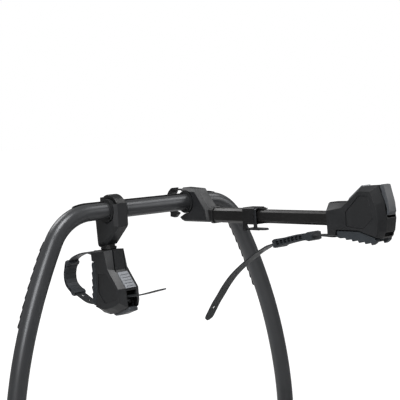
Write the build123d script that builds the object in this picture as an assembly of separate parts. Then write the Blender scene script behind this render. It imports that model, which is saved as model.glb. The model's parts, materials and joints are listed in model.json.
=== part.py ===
from build123d import *
import os
from math import atan, cos, radians, sin, sqrt, tan

os.makedirs("parts", exist_ok=True)

# Driving dimensions in mm
# The row frame has its origin at the tow ball centre, +Z up, +Y away from the car
BALL_R = 25.2
RUN = 0.05
GAP = 0.3

# Hoop
BAR_Y = 71.7
BAR_Z = 655.0
LEAN = 5.46
BAR_HALF = 151.5
BEND_R = 95.0
TUBE_T = 32.0
TUBE_W = 35.0
LEG_A = 206.6
LEG_B = 0.603
LEG_C = -0.000619
HINGE_Z = 55.0
HOOP_DROP = BAR_Z - HINGE_Z
LEG_END = HOOP_DROP - 22.0
LEG_STRAIGHT = LEG_END - 91.0
LEG_X = LEG_A + LEG_B * LEG_STRAIGHT + LEG_C * LEG_STRAIGHT**2

# Arms
LONG_X = 41.5 - BAR_HALF
LONG_TILT = 4.8
SHORT_X = BAR_HALF - 59.0
SHORT_TILT = -81.5
ARM_Z = -26.5
CLAMP_W = 35.0
LINER_R = 22.8
MOUTH_R = LINER_R + GAP
JAW_HALF = 9.0
JAW_WIDE = 11.0
NOSE = 5.0
JAW_OUT = 38.0
FINGER_TOP = 25.9
SCREW_Y = 33.0
SCREW_R = 4.0
OUT_W = 26.0
OUT_H = 29.0
OUT_END = 169.0
IN_W = 20.5
IN_H = 25.6
WALL = 1.6
LATCH_R = 2.0
LATCH_Z = ARM_Z - 25.2
HEAD_START = 76.0
HEAD_SHIFT = 309.0
HEAD_HALF = 24.5
NECK_TOP = 4.5
HEAD_TOP = 33.0
HEAD_LOW = -58.0
PAD_TOP = -46.0
PAD_HALF = 23.0
GROOVE = 0.0
AXLE_Y = 176.5
AXLE_Z = 15.0
STRAP_W = 20.0
STRAP_T = 2.2
SLEEVE_W = 27.0
SLEEVE_T = 6.6
HIGH_SLEEVE_T = 9.6

# Platform
FRAME_HALF = round(LEG_X) + 55.0
WING_AXIS_X = FRAME_HALF + 8.0
WING_LENGTH = 240.0
WING_END = WING_AXIS_X + WING_LENGTH
WHEEL_STRAP_X = WING_AXIS_X + 152.0
LAMP_X = WING_AXIS_X + 54.0
TILT_Y = 86.0
TILT_Z = -2.0


def yz_prism(points, x0, x1):
    face = Plane.YZ.offset(x0) * Polygon(*points, align=None)
    return extrude(face, x1 - x0, dir=(1, 0, 0))


def block(x0, x1, y0, y1, z0, z1):
    body = Box(x1 - x0, y1 - y0, z1 - z0)
    return Pos((x0 + x1) / 2, (y0 + y1) / 2, (z0 + z1) / 2) * body


def rod_x(radius, x0, x1, y, z):
    return Pos((x0 + x1) / 2, y, z) * Rot(0, 90, 0) * Cylinder(radius, abs(x1 - x0))


def rod_y(radius, y0, y1, x, z):
    return Pos(x, (y0 + y1) / 2, z) * Rot(90, 0, 0) * Cylinder(radius, y1 - y0)


def rod_z(radius, z0, z1, x, y):
    return Pos(x, y, (z0 + z1) / 2) * Cylinder(radius, z1 - z0)


def side_edges(body, x):
    return body.faces().filter_by(Axis.X).filter_by(lambda f: abs(f.center().X - x) < 0.01).edges()


def octagon(width, height, cut):
    w = width / 2
    h = height / 2
    return [
        (-w + cut, -h), (w - cut, -h), (w, -h + cut), (w, h - cut),
        (w - cut, h), (-w + cut, h), (-w, h - cut), (-w, -h + cut),
    ]


NODES = {}


def keep(name, *bodies):
    solids = []
    for body in bodies:
        solids.extend(body.solids())
    NODES[name] = Compound(children=solids) if len(solids) > 1 else solids[0]


# Hoop tube: a faceted section carried round two bends and down bowed legs
def leg_x(h):
    return LEG_A + LEG_B * h + LEG_C * h * h


def turn_angle():
    angle = 61.6
    for step in range(20):
        h = BEND_R * (1 - cos(radians(angle)))
        slope = LEG_B + 2 * LEG_C * h
        angle = 90 - atan(slope) * 180 / 3.14159265
    return angle


BEND = turn_angle()
DOWN = sqrt(1 + tan(radians(LEAN)) ** 2)
HOOP_PLANE = Plane(
    origin=(0, 0, 0),
    x_dir=(1, 0, 0),
    z_dir=(0, -cos(radians(LEAN)), -sin(radians(LEAN))),
)


def hoop_path(side):
    a = radians(BEND)
    drop = BEND_R * (1 - cos(a))
    shift = BAR_HALF + BEND_R * sin(a) - leg_x(drop)
    heights = (110, 190, 280, 380)
    return [(side * (leg_x(h) + shift * (1 - h / LEG_STRAIGHT)), -h * DOWN) for h in heights]


def section_points(grow):
    t = TUBE_T / 2 + grow
    w = TUBE_W / 2 + grow
    return [
        (-w + 11, -t), (w - 11, -t), (w - 3.5, -t + 4.5), (w, -t + 11),
        (w, t - 11), (w - 3.5, t - 4.5), (w - 11, t),
        (-w + 11, t), (-w + 3.5, t - 4.5), (-w, t - 11),
        (-w, -t + 11), (-w + 3.5, -t + 4.5),
    ]


def tube_section(plane, grow):
    face = plane * Polygon(*section_points(grow), align=None)
    return face


def half_hoop(side):
    a = radians(BEND)
    end = (side * (BAR_HALF + BEND_R * sin(a)), -BEND_R * (1 - cos(a)))
    mid = (side * (BAR_HALF + BEND_R * sin(a / 2)), -BEND_R * (1 - cos(a / 2)))
    points = hoop_path(side)
    low = (side * LEG_X, -LEG_STRAIGHT * DOWN)
    foot = (side * LEG_X, -LEG_END * DOWN)
    bar = Line((0, 0), (side * BAR_HALF, 0))
    bend = ThreePointArc((side * BAR_HALF, 0), mid, end)
    leg = Spline(end, *points, low, tangents=[(side * cos(a), -sin(a)), (0, -1)])
    tail = Line(low, foot)
    wire = HOOP_PLANE * Wire(bar.edges() + bend.edges() + leg.edges() + tail.edges())
    start = Plane(origin=(0, 0, 0), x_dir=HOOP_PLANE.z_dir, z_dir=(side, 0, 0))
    solid = sweep(tube_section(start, 0), wire)
    core = sweep(tube_section(start, -2.4), wire)
    return solid - core


def bar_section(grow, x0, x1):
    start = Plane(origin=(x0, 0, 0), x_dir=HOOP_PLANE.z_dir, z_dir=(1, 0, 0))
    return extrude(tube_section(start, grow), x1 - x0, dir=(1, 0, 0))


def grip_strip(grow, reach):
    # The strip lies on the slanted facet at the top rear of the bar and a little way into the bends
    facet = radians(31.0)
    strip = None
    for side in (-1, 1):
        start = Plane(origin=(0, 0, 0), x_dir=HOOP_PLANE.z_dir, z_dir=(side, 0, 0))
        corners = []
        for across, out in ((-3.5, 17.4), (3.5, 17.4), (3.5, 19.6), (-3.5, 19.6)):
            across = across + grow if across > 0 else across - grow
            out = out + grow if out > 18 else out
            y = across * cos(facet) - out * sin(facet)
            z = across * sin(facet) + out * cos(facet)
            spot = start.to_local_coords(Vector(0, y, z))
            corners.append((spot.X, spot.Y))
        path = Line((0, 0), (side * min(BAR_HALF, reach), 0))
        edges = path.edges()
        if reach > BAR_HALF:
            a = (reach - BAR_HALF) / BEND_R
            mid = (side * (BAR_HALF + BEND_R * sin(a / 2)), -BEND_R * (1 - cos(a / 2)))
            end = (side * (BAR_HALF + BEND_R * sin(a)), -BEND_R * (1 - cos(a)))
            edges = edges + ThreePointArc((side * BAR_HALF, 0), mid, end).edges()
        half = sweep(start * Polygon(*corners, align=None), HOOP_PLANE * Wire(edges))
        strip = half if strip is None else strip + half
    return strip


def leg_point(side, h, back):
    y = h * tan(radians(LEAN)) - back
    return (side * leg_x(h), y, -h)


def bumper(side):
    # Overlapping wedges, each a little prouder at its lower end
    strip = None
    for count in range(9):
        h = 60.0 + 16.5 * count
        x, y, z = leg_point(side, h, TUBE_W / 2)
        slope = atan(LEG_B + 2 * LEG_C * h) * 180 / 3.14159265
        wedge = [(2.0, 10.5), (-2.6, 10.5), (-5.6, -5.5), (-4.4, -8.5), (2.0, -10.5)]
        tile = yz_prism(wedge, -8.5, 8.5)
        tile = Pos(x, y, z) * Rot(LEAN, 0, 0) * Rot(0, -side * slope, 0) * tile
        strip = tile if strip is None else strip + tile
    return strip


def hoop_foot(side):
    # A plug in the leg's end with a flat knuckle for the hinge pin
    y = LEG_END * tan(radians(LEAN))
    hinge_y = HOOP_DROP * tan(radians(LEAN))
    x = side * LEG_X
    plug = block(x - 19, x + 19, y - 21, y + 21, -LEG_END - 3, -LEG_END)
    knuckle = rod_x(15.0, x - 11, x + 11, hinge_y, -HOOP_DROP)
    web = block(x - 11, x + 11, y - 13, y + 15, -HOOP_DROP, -LEG_END - 1)
    body = plug + knuckle + web
    body = body - rod_x(5.0 + RUN, x - 40, x + 40, hinge_y, -HOOP_DROP)
    return body


# Arm clamp, in the arm's own frame: origin on the crossbar axis, +Y along the arm
def clamp_body():
    w = CLAMP_W / 2
    outline = [
        (-11.4, 29.8), (33.5, 26.8), (66.0, -13.5), (70.3, -40.3),
        (-7.6, -40.5), (-18.5, -31.8), (0.5, -22.5), (0.5, 22.0), (-11.4, 22.0),
    ]
    body = yz_prism(outline, -w, w)
    for x in (-w, w):
        face = body.faces().filter_by(Axis.X).filter_by(lambda f: abs(f.center().X - x) < 0.01)[0]
        picked = []
        for edge in face.edges():
            c = edge.center()
            if c.Z > 2.0 and c.Y > 2.0:
                picked.append(edge)
            if c.Y > 60.0 and c.Z < -20:
                picked.append(edge)
        body = chamfer(picked, 6.5)
    low = []
    for x in (-w, w):
        face = body.faces().filter_by(Axis.X).filter_by(lambda f: abs(f.center().X - x) < 0.01)[0]
        low.extend([e for e in face.edges() if e.center().Z < -38])
    body = chamfer(low, 3.5)
    body = body - rod_x(MOUTH_R, -40, 40, 0, 0)
    for x in (-w, w):
        rim = Pos(x, 0, 0) * Rot(0, 90 if x > 0 else -90, 0) * Cone(MOUTH_R - 0.2, MOUTH_R + 3.8, 5.0)
        body = body - rim
    slot = block(-JAW_HALF - 0.5, JAW_HALF + 0.5, -30.0, 31.0, 20.0, FINGER_TOP + 0.4)
    body = body - (slot - rod_x(MOUTH_R - 0.1, -40, 40, 0, 0))
    body = body - block(-NOSE - 0.5, NOSE + 0.5, -30.0, -2.2, -42.0, -18.0)
    body = body - rod_z(SCREW_R + GAP, -41, 14, 0, SCREW_Y) - rod_z(7.5, -50, -36.5, 0, SCREW_Y)
    return body


def clamp_liner():
    ring = rod_x(LINER_R, -CLAMP_W / 2 - 1.2, CLAMP_W / 2 + 1.2, 0, 0)
    for count in range(20):
        angle = count * 18.0
        for x in (-CLAMP_W / 2 - 1.2, CLAMP_W / 2 + 1.2):
            notch = Pos(x, 0, 0) * Rot(angle, 0, 0) * Pos(0, 0, 24.6) * Box(1.6, 2.4, 3.2)
            ring = ring - notch
    return ring


def liner_bore():
    bore = bar_section(0.35, -30, 30)
    strip = grip_strip(0.35, 40)
    split = Rot(40, 0, 0) * block(-30, 30, -0.9, 0.9, -40, 0)
    return bore + strip + split


def clamp_jaw():
    # A hook behind the bar: guide finger on top, round back, nose below
    outer = [(31.0 * cos(radians(a)), 31.0 * sin(radians(a))) for a in range(112, 233, 10)]
    inner = [(23.8 * cos(radians(a)), 23.8 * sin(radians(a))) for a in range(230, 120, -10)]
    back = yz_prism(outer + inner, -JAW_WIDE, JAW_WIDE)
    back = chamfer(side_edges(back, JAW_WIDE) + side_edges(back, -JAW_WIDE), 1.2)
    nose_line = [(-26.0, -16.5), (-27.0, -33.0), (-13.0, -34.7), (-3.5, -27.0), (-3.0, -24.3), (-17.0, -19.0)]
    nose = yz_prism(nose_line, -NOSE, NOSE)
    nose = nose - rod_x(23.8, -NOSE - 1, NOSE + 1, 0, 0)
    nose = chamfer(side_edges(nose, NOSE) + side_edges(nose, -NOSE), 0.8)
    return back + nose + block(-JAW_HALF, JAW_HALF, -16.0, 30.0, 23.3, FINGER_TOP)


def clamp_screw():
    body = rod_z(SCREW_R, -38.0, 12.0, 0, SCREW_Y) + rod_z(7.0, -40.2, -36.9, 0, SCREW_Y)
    socket = Plane.XY.offset(-41.0) * Pos(0, SCREW_Y) * RegularPolygon(3.6, 6)
    return body - extrude(socket, 4.0, dir=(0, 0, 1))


def tube_bar(width, height, cut, y0, y1, wall):
    plane = Plane(origin=(0, y0, ARM_Z), x_dir=(1, 0, 0), z_dir=(0, -1, 0))
    body = extrude(plane * Polygon(*octagon(width, height, cut), align=None), y1 - y0, dir=(0, 1, 0))
    if wall > 0:
        inner = octagon(width - 2 * wall, height - 2 * wall, cut - wall * 0.5)
        body = body - extrude(plane * Polygon(*inner, align=None), y1 - y0, dir=(0, 1, 0))
    return body


def tube_socket(width, height, cut, y0, y1, clear):
    return tube_bar(width + 2 * clear, height + 2 * clear, cut + clear * 0.6, y0, y1, 0)


def collar(width, height, cut, y0, y1):
    body = tube_bar(width + 5.0, height + 4.4, 6.0, y0, y1, 0)
    body = chamfer(body.faces().sort_by(Axis.Y)[-1].edges(), 1.2)
    return body - tube_socket(width, height, cut, y0 - 5, y1 + 5, 0)


# Strap end clip on the mouth of the outer tube
def tube_clip():
    body = block(-16.0, 16.0, OUT_END - 3, OUT_END + 28, ARM_Z - 15.6, ARM_Z + 17.5)
    body = chamfer(body.edges().filter_by(Axis.Y), 2.5)
    lip = block(-8.0, 8.0, OUT_END + 20, OUT_END + 44, ARM_Z + 13.6, ARM_Z + 15.4)
    for side in (-1, 1):
        x0, x1 = sorted((side * 13.0, side * 16.0))
        body = body + block(x0, x1, OUT_END - 3, OUT_END + 5, ARM_Z - 28.0, ARM_Z - 10.0)
    body = body - rod_x(LATCH_R + RUN, -30, 30, OUT_END + 1, LATCH_Z)
    body = body - tube_socket(OUT_W, OUT_H, 5.0, OUT_END - 10, OUT_END, 0)
    body = body - tube_socket(IN_W, IN_H, 4.6, OUT_END - 10, OUT_END + 80, GAP)
    body = body + lip
    return body - block(-17.0, -12.0, OUT_END + 7, OUT_END + 16, ARM_Z + 8.0, ARM_Z + 10.5)


def clip_bar():
    body = block(-15.6, 15.6, OUT_END + 28, OUT_END + 33.5, ARM_Z - 25.0, ARM_Z + 16.0)
    top = [e for e in body.edges().filter_by(Axis.Y) if e.center().Z > ARM_Z]
    body = chamfer(top, 2.5)
    hole = block(-13.4, 13.4, OUT_END + 10, OUT_END + 40, ARM_Z - 30.0, ARM_Z + 13.3)
    cap = block(-13.4, 13.4, OUT_END + 28, OUT_END + 33.5, ARM_Z + 13.3, ARM_Z + 13.6)
    far_leg = block(-17.0, -13.0, OUT_END + 10, OUT_END + 40, ARM_Z - 30.0, ARM_Z - 15.6)
    return body - hole - cap - far_leg - block(-8.2, 8.2, OUT_END + 10, OUT_END + 40, ARM_Z + 13.0, ARM_Z + 15.6)


def length_latch():
    # A plate under the tube, hinged between the clip's legs, with a round tongue
    plate = block(-12.6, 12.6, OUT_END + 1, OUT_END + 37, LATCH_Z - 1.5, LATCH_Z + 1.5)
    tongue = block(-8.0, 8.0, OUT_END + 36, OUT_END + 40, LATCH_Z - 1.5, LATCH_Z + 1.5)
    tongue = tongue + rod_z(8.0, LATCH_Z - 1.5, LATCH_Z + 1.5, 0, OUT_END + 40)
    axle = rod_x(LATCH_R, -15.6, 15.6, OUT_END + 1, LATCH_Z)
    return plate + tongue + axle


# Frame holder head, in its own frame: +Y out along the arm from the crossbar axis
HEAD_LINE = [
    (HEAD_START, -57.0), (HEAD_START, NECK_TOP - 1.0), (116.0, NECK_TOP),
    (150.5, HEAD_TOP - 1.5), (187.5, HEAD_TOP), (198.0, 5.0), (202.5, -24.0),
    (199.0, -45.0), (191.0, HEAD_LOW), (184.0, -57.0), (148.0, PAD_TOP), (99.0, PAD_TOP), (97.0, -57.0),
]
SIDE_LINE = [
    (79.0, -54.5), (78.0, -11.5), (112.5, -5.5),
    (152.0, 23.5), (177.5, 23.0), (186.5, 1.0), (191.5, -26.0),
    (189.5, -43.0), (186.5, -55.5), (183.0, -54.0), (148.0, PAD_TOP + 2.0), (99.0, PAD_TOP + 2.0), (96.0, -54.5),
]


def inset(points, dists):
    # Each edge moves inward by its own distance and stays parallel
    count = len(points)
    area = sum(
        points[i][0] * points[(i + 1) % count][1] - points[(i + 1) % count][0] * points[i][1]
        for i in range(count)
    )
    turn = 1.0 if area > 0 else -1.0
    lines = []
    for i in range(count):
        (ay, az), (by, bz) = points[i], points[(i + 1) % count]
        length = sqrt((by - ay) ** 2 + (bz - az) ** 2)
        ny, nz = -(bz - az) / length * turn, (by - ay) / length * turn
        lines.append((ny, nz, ny * ay + nz * az + dists[i]))
    result = []
    for i in range(count):
        n1, m1, c1 = lines[i - 1]
        n2, m2, c2 = lines[i]
        det = n1 * m2 - n2 * m1
        result.append(((c1 * m2 - c2 * m1) / det, (n1 * c2 - n2 * c1) / det))
    return result


def frustum(points, dists, x0, x1):
    # A slab from its full outline at x0 to its inset outline at x1
    low = Plane.YZ.offset(x0) * Polygon(*points, align=None)
    high = Plane.YZ.offset(x1) * Polygon(*inset(points, dists), align=None)
    return loft([low, high], ruled=True)


def shrink(points, dist, x0, x1):
    face = Plane.YZ.offset(x0) * Polygon(*points, align=None)
    face = offset(face, -dist, kind=Kind.INTERSECTION)
    return extrude(face, x1 - x0, dir=(1, 0, 0))


def head_shell(side):
    flat = HEAD_HALF - 11.5
    x0 = GROOVE if side > 0 else -flat
    x1 = flat if side > 0 else -GROOVE
    body = yz_prism(HEAD_LINE, x0, x1)
    inner = Plane.YZ.offset(side * flat) * Polygon(*HEAD_LINE, align=None)
    outer = Plane.YZ.offset(side * HEAD_HALF) * Polygon(*SIDE_LINE, align=None)
    body = body + loft([inner, outer], ruled=True)
    x0, x1 = sorted((side * (flat - 1.4), side * (flat + 1.0)))
    body = body - block(x0, x1, HEAD_START - 1, 119.0, NECK_TOP - 5.0, NECK_TOP + 5.0)
    return body - head_hollow() - panel_pocket(side)


PANEL = [(122.0, -12.0), (122.0, -38.0), (159.0, -41.5), (180.5, -23.5), (171.5, 15.5), (153.0, 16.5)]


def panel_pocket(side):
    x0 = side * HEAD_HALF - 1.6 if side > 0 else -HEAD_HALF - 1
    x1 = HEAD_HALF + 1 if side > 0 else -HEAD_HALF + 1.6
    return yz_prism(PANEL, x0, x1)


def side_panel(side):
    x0 = HEAD_HALF - 1.6 if side > 0 else -HEAD_HALF + 0.7
    x1 = HEAD_HALF - 0.7 if side > 0 else -HEAD_HALF + 1.6
    return shrink(PANEL, 0.5, x0, x1)




def slope_box(u0, u1, x0, x1, n0, n1):
    # A box laid on the head's slope: u along it from its foot, n out of it
    body = block(x0, x1, u0, u1, n0, n1)
    return Pos(0, 116.0, NECK_TOP) * Rot(atan(26.0 / 34.0) * 180 / 3.14159265, 0, 0) * body


def head_hollow():
    hollow = block(-11.5, 11.5, 162.0, 220.0, -22.0, 60.0)
    hollow = hollow + block(-11.5, 11.5, 156.0, 186.0, -70.0, 60.0)
    hollow = hollow + block(-14.2, 14.2, 160.0, 186.0, -12.0, 28.5)
    hollow = hollow + slope_box(6.3, 45.7, -12.5, 12.5, -5.5, 12.0)
    hollow = hollow + block(-11.5, 11.5, HEAD_START - 5, 99.0, -62.0, -50.5)
    hollow = hollow + block(-11.5, 11.5, 184.0, 220.0, -54.5, -47.5)
    hollow = hollow + block(-11.5, 11.5, 150.0, 187.0, -60.0, -46.0)
    neck = tube_bar(IN_W, IN_H, 4.6, 60.0, 128.0, 0)
    return hollow + neck


def release_button():
    body = slope_box(6.7, 45.0, -12.1, 12.1, -2.5, 2.0)
    for count in range(5):
        rib = slope_box(11.5 + 6.8 * count, 14.0 + 6.8 * count, -9.5, 9.5, 1.8, 3.2)
        body = body + rib
    return body


def side_frame():
    # Two steel cheeks joined by a foot, carrying the drum's axle
    left = block(-14.0, -11.9, 161.0, 185.0, -11.6, 28.0)
    right = block(11.9, 14.0, 161.0, 185.0, -11.6, 28.0)
    body = left + right
    body = body - rod_x(3.0 + RUN, -30, 30, AXLE_Y, AXLE_Z)
    return body


def ratchet_drum():
    axle = rod_x(3.0, -13.9, 13.9, AXLE_Y, AXLE_Z)
    drum = rod_x(6.4, -9.0, 9.0, AXLE_Y, AXLE_Z)
    for count in range(12):
        for x in (-7.6, 7.6):
            tooth = Pos(x, AXLE_Y, AXLE_Z) * Rot(count * 30.0, 0, 0) * Pos(0, 0, 6.4) * Box(2.4, 1.8, 2.6)
            drum = drum + tooth
    return axle + drum


def ratchet_lever():
    plate = [
        (190.0, 34.5), (195.5, 34.0), (203.8, 4.0), (205.5, -12.0), (203.0, -18.0),
        (200.0, -18.0), (200.2, -6.0), (195.0, 12.0), (190.5, 24.0), (187.5, 30.0),
    ]
    soft = [1.0] * len(plate)
    body = yz_prism(plate, -9.5, 9.5)
    body = body + frustum(plate, soft, 9.5, 10.5) + frustum(plate, soft, -9.5, -10.5)
    cheek = [
        (AXLE_Y - 5, AXLE_Z - 4), (AXLE_Y + 2, AXLE_Z - 6), (197.5, 2.0), (194.5, 20.0),
        (AXLE_Y + 6, AXLE_Z + 7), (AXLE_Y - 4, AXLE_Z + 5),
    ]
    body = body + yz_prism(cheek, -11.0, -9.3) + yz_prism(cheek, 9.3, 11.0)
    body = body - rod_x(3.0 + RUN, -30, 30, AXLE_Y, AXLE_Z)
    return body


def grip_pad():
    # Serrated rubber pad under the head, deeper towards the outer end
    under = [
        (180.0, -66.0), (175.0, -69.0), (173.0, -65.0), (161.0, -67.5), (159.0, -63.5),
        (147.0, -66.0), (145.0, -62.0), (133.0, -64.0), (131.0, -60.5), (119.0, -62.0), (117.0, -58.5),
        (105.0, -59.5), (99.0, -57.5),
    ]
    line = [(99.0, PAD_TOP), (148.0, PAD_TOP), (181.0, -55.9), (184.5, -58.5), (184.0, -62.5)] + under
    body = yz_prism(line, -PAD_HALF, PAD_HALF)
    body = chamfer(side_edges(body, PAD_HALF) + side_edges(body, -PAD_HALF), 1.0)
    return body - block(-12.0, 12.0, 155.0, 190.0, -80.0, -40.0)


def polyribbon(points, width, thick):
    # A flat strap through straight runs about X, rounded at each corner
    body = None
    for a, b in zip(points[:-1], points[1:]):
        dy = b[0] - a[0]
        dz = b[1] - a[1]
        length = sqrt(dy * dy + dz * dz)
        plane = Plane(origin=(0, a[0], a[1]), x_dir=(1, 0, 0), z_dir=(0, dy, dz))
        run = extrude(plane * Rectangle(width, thick), length)
        joint = rod_x(thick / 2, -width / 2, width / 2, b[0], b[1])
        piece = run + joint
        body = piece if body is None else body + piece
    return body


def arm_pieces():
    body = {}
    body["clamp_body"] = [clamp_body()]
    body["clamp_jaw"] = [clamp_jaw()]
    body["clamp_screw"] = [clamp_screw()]
    head = {}
    head["head_shell_left"] = [head_shell(-1)]
    head["head_shell_right"] = [head_shell(1)]
    head["side_panels"] = [side_panel(-1), side_panel(1)]
    head["release_button"] = [release_button()]
    head["side_frame"] = [side_frame()]
    head["ratchet_drum"] = [ratchet_drum()]
    head["ratchet_lever"] = [ratchet_lever()]
    head["grip_pad"] = [grip_pad()]
    return body, head


LOW_STRAP = [
    (92.0, -60.0), (84.0, -74.0), (81.0, -95.0), (84.0, -120.0),
    (92.0, -146.0), (106.0, -163.0), (126.0, -171.0), (145.0, -168.0),
    (160.0, -150.0), (171.0, -128.0), (180.0, -106.0), (183.0, -84.0),
]
LOW_SLEEVE = [(98.0, -153.5), (106.0, -163.0), (126.0, -171.0), (145.0, -168.0), (160.0, -150.0), (165.0, -141.0)]
LOW_TAIL = [(183.0, -84.0), (181.5, -55.0), (170.0, -10.0), (166.8, 12.0), (167.0, 52.0), (152.5, 132.0)]
HIGH_STRAP = [
    (404.0, -54.0), (392.0, -58.5), (350.0, -58.0), (300.0, -64.5), (230.0, -80.5), (210.0, -88.5), (187.0, -100.0),
    (146.0, -125.0), (116.0, -147.0), (92.0, -170.0), (76.0, -188.5), (59.5, -207.0),
    (45.0, -226.0), (30.0, -246.0),
]
HIGH_SLEEVE = [(340.0, -59.3), (300.0, -64.5), (241.0, -78.0)]


def build_arms():
    bar = Pos(0, BAR_Y, BAR_Z)
    long_place = bar * Pos(LONG_X, 0, 0) * Rot(LONG_TILT, 0, 0)
    short_place = bar * Pos(SHORT_X, 0, 0) * Rot(SHORT_TILT, 0, 0)
    for prefix, place in (("long", long_place), ("short", short_place)):
        shift = HEAD_SHIFT if prefix == "long" else 0.0
        clamp, head = arm_pieces()
        if prefix == "long":
            clamp["clamp_body"] = [clamp["clamp_body"][0] - tube_bar(OUT_W, OUT_H, 5.0, 40.0, 100.0, 0)]
            clamp["tube_collar"] = [collar(OUT_W, OUT_H, 5.0, 70.4, 78.0)]
            clamp["outer_tube"] = [tube_bar(OUT_W, OUT_H, 5.0, 40.0, OUT_END, WALL)]
            clamp["tube_clip"] = [tube_clip()]
            clamp["clip_bar"] = [clip_bar()]
            clamp["length_latch"] = [length_latch()]
            head["inner_tube"] = [Pos(0, -shift, 0) * tube_bar(IN_W, IN_H, 4.6, 103.0, 128.0 + shift, 1.8)]
            strap = Pos(0, -shift, 0) * polyribbon(HIGH_STRAP, STRAP_W, STRAP_T)
            guard = Pos(0, -shift, 0) * polyribbon(HIGH_SLEEVE, SLEEVE_W, HIGH_SLEEVE_T)
            clamp["clamp_jaw"] = [Pos(0, -JAW_OUT, 0) * clamp["clamp_jaw"][0]]
        if prefix == "short":
            clamp["clamp_body"] = [clamp["clamp_body"][0] - tube_bar(IN_W, IN_H, 4.6, 40.0, 100.0, 0)]
            clamp["tube_collar"] = [collar(IN_W, IN_H, 4.6, 70.4, 75.6)]
            clamp["neck_tube"] = [tube_bar(IN_W, IN_H, 4.6, 40.0, 128.0, 1.8)]
            strap = polyribbon(LOW_STRAP + LOW_TAIL[1:], STRAP_W, STRAP_T)
            guard = polyribbon(LOW_SLEEVE, SLEEVE_W, SLEEVE_T)
        head["strap"] = [strap]
        head["strap_sleeve"] = [guard - strap]
        for name, bodies in clamp.items():
            keep(prefix + "_" + name, *[place * b for b in bodies])
        for name, bodies in head.items():
            keep(prefix + "_" + name, *[place * Pos(0, shift, 0) * b for b in bodies])
        x = LONG_X if prefix == "long" else SHORT_X
        keep(prefix + "_clamp_liner", bar * Pos(x, 0, 0) * (clamp_liner() - liner_bore()))


def build_hoop():
    bar = Pos(0, BAR_Y, BAR_Z)
    halves = {1: half_hoop(1), -1: half_hoop(-1)}
    tube = halves[1] + halves[-1]
    keep("hoop_tube", bar * tube)
    keep("crossbar_strip", bar * (grip_strip(0, BAR_HALF + 26.0) - halves[-1] - halves[1]))
    keep("leg_bumpers", *[bar * (bumper(side) - halves[side]) for side in (-1, 1)])
    keep("hoop_feet", *[bar * (hoop_foot(side) - halves[side]) for side in (-1, 1)])


# Platform below the hoop, in the row frame
FOOT_Y = BAR_Y + HOOP_DROP * tan(radians(LEAN))
BEAM_LOW = -20.0
BEAM_TOP = 16.0
FRONT_Y = 129.0
REAR_Y = 441.0
BEAM_D = 42.0
KNUCKLE_R = 10.0
WING_Z = 22.0


def box_tube(x0, x1, y0, y1, z0, z1, wall, axis):
    outer = block(x0, x1, y0, y1, z0, z1)
    inner = [x0 + wall, x1 - wall, y0 + wall, y1 - wall, z0 + wall, z1 - wall]
    inner[axis * 2] = [x0, y0, z0][axis] - 1
    inner[axis * 2 + 1] = [x1, y1, z1][axis] + 1
    return outer, block(*inner)


def coupling_housing():
    body = yz_prism(
        [(-46, -18), (-46, 14), (-30, 36), (20, 46), (66, 40), (66, -18)], -36, 36
    )
    body = chamfer(body.edges().filter_by(Axis.Z), 8.0)
    body = body - Sphere(BALL_R) - rod_z(BALL_R, -30, 0, 0, 0)
    body = body - block(-14, 14, -60, -16, -30, 20)
    body = body - rod_x(4.0, -40, 40, -38.0, 13.0)
    ears = block(-28, -20, 30, 54, 38, 64) + block(20, 28, 30, 54, 38, 64)
    body = body + ears
    return body - rod_x(4.0, -40, 40, 42.0, 55.0)


def coupling_jaw():
    body = block(-13.7, 13.7, -44, -17, -17, 12)
    body = body + rod_x(6.5, -13.7, 13.7, -38.0, 13.0)
    body = body - rod_z(BALL_R + 0.2, -40, 0, 0, 0) - Sphere(BALL_R + 0.2)
    return body - rod_x(4.0 + RUN, -40, 40, -38.0, 13.0)


def coupling_lever():
    body = rod_x(9.0, -19.6, 19.6, 42.0, 55.0)
    body = body + block(-15, 15, 42, 210, 54, 63)
    grip = block(-15, 15, 140, 216, 52, 68)
    body = body + chamfer(grip.edges().filter_by(Axis.Y), 5.0)
    return body - rod_x(4.0 + RUN, -40, 40, 42.0, 55.0)


def spine():
    body = block(-24, 24, 66, TILT_Y, -18, 14) + rod_x(16.0, -24, 24, TILT_Y, TILT_Z)
    return body - rod_x(8.0 + RUN, -40, 40, TILT_Y, TILT_Z)


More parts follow.
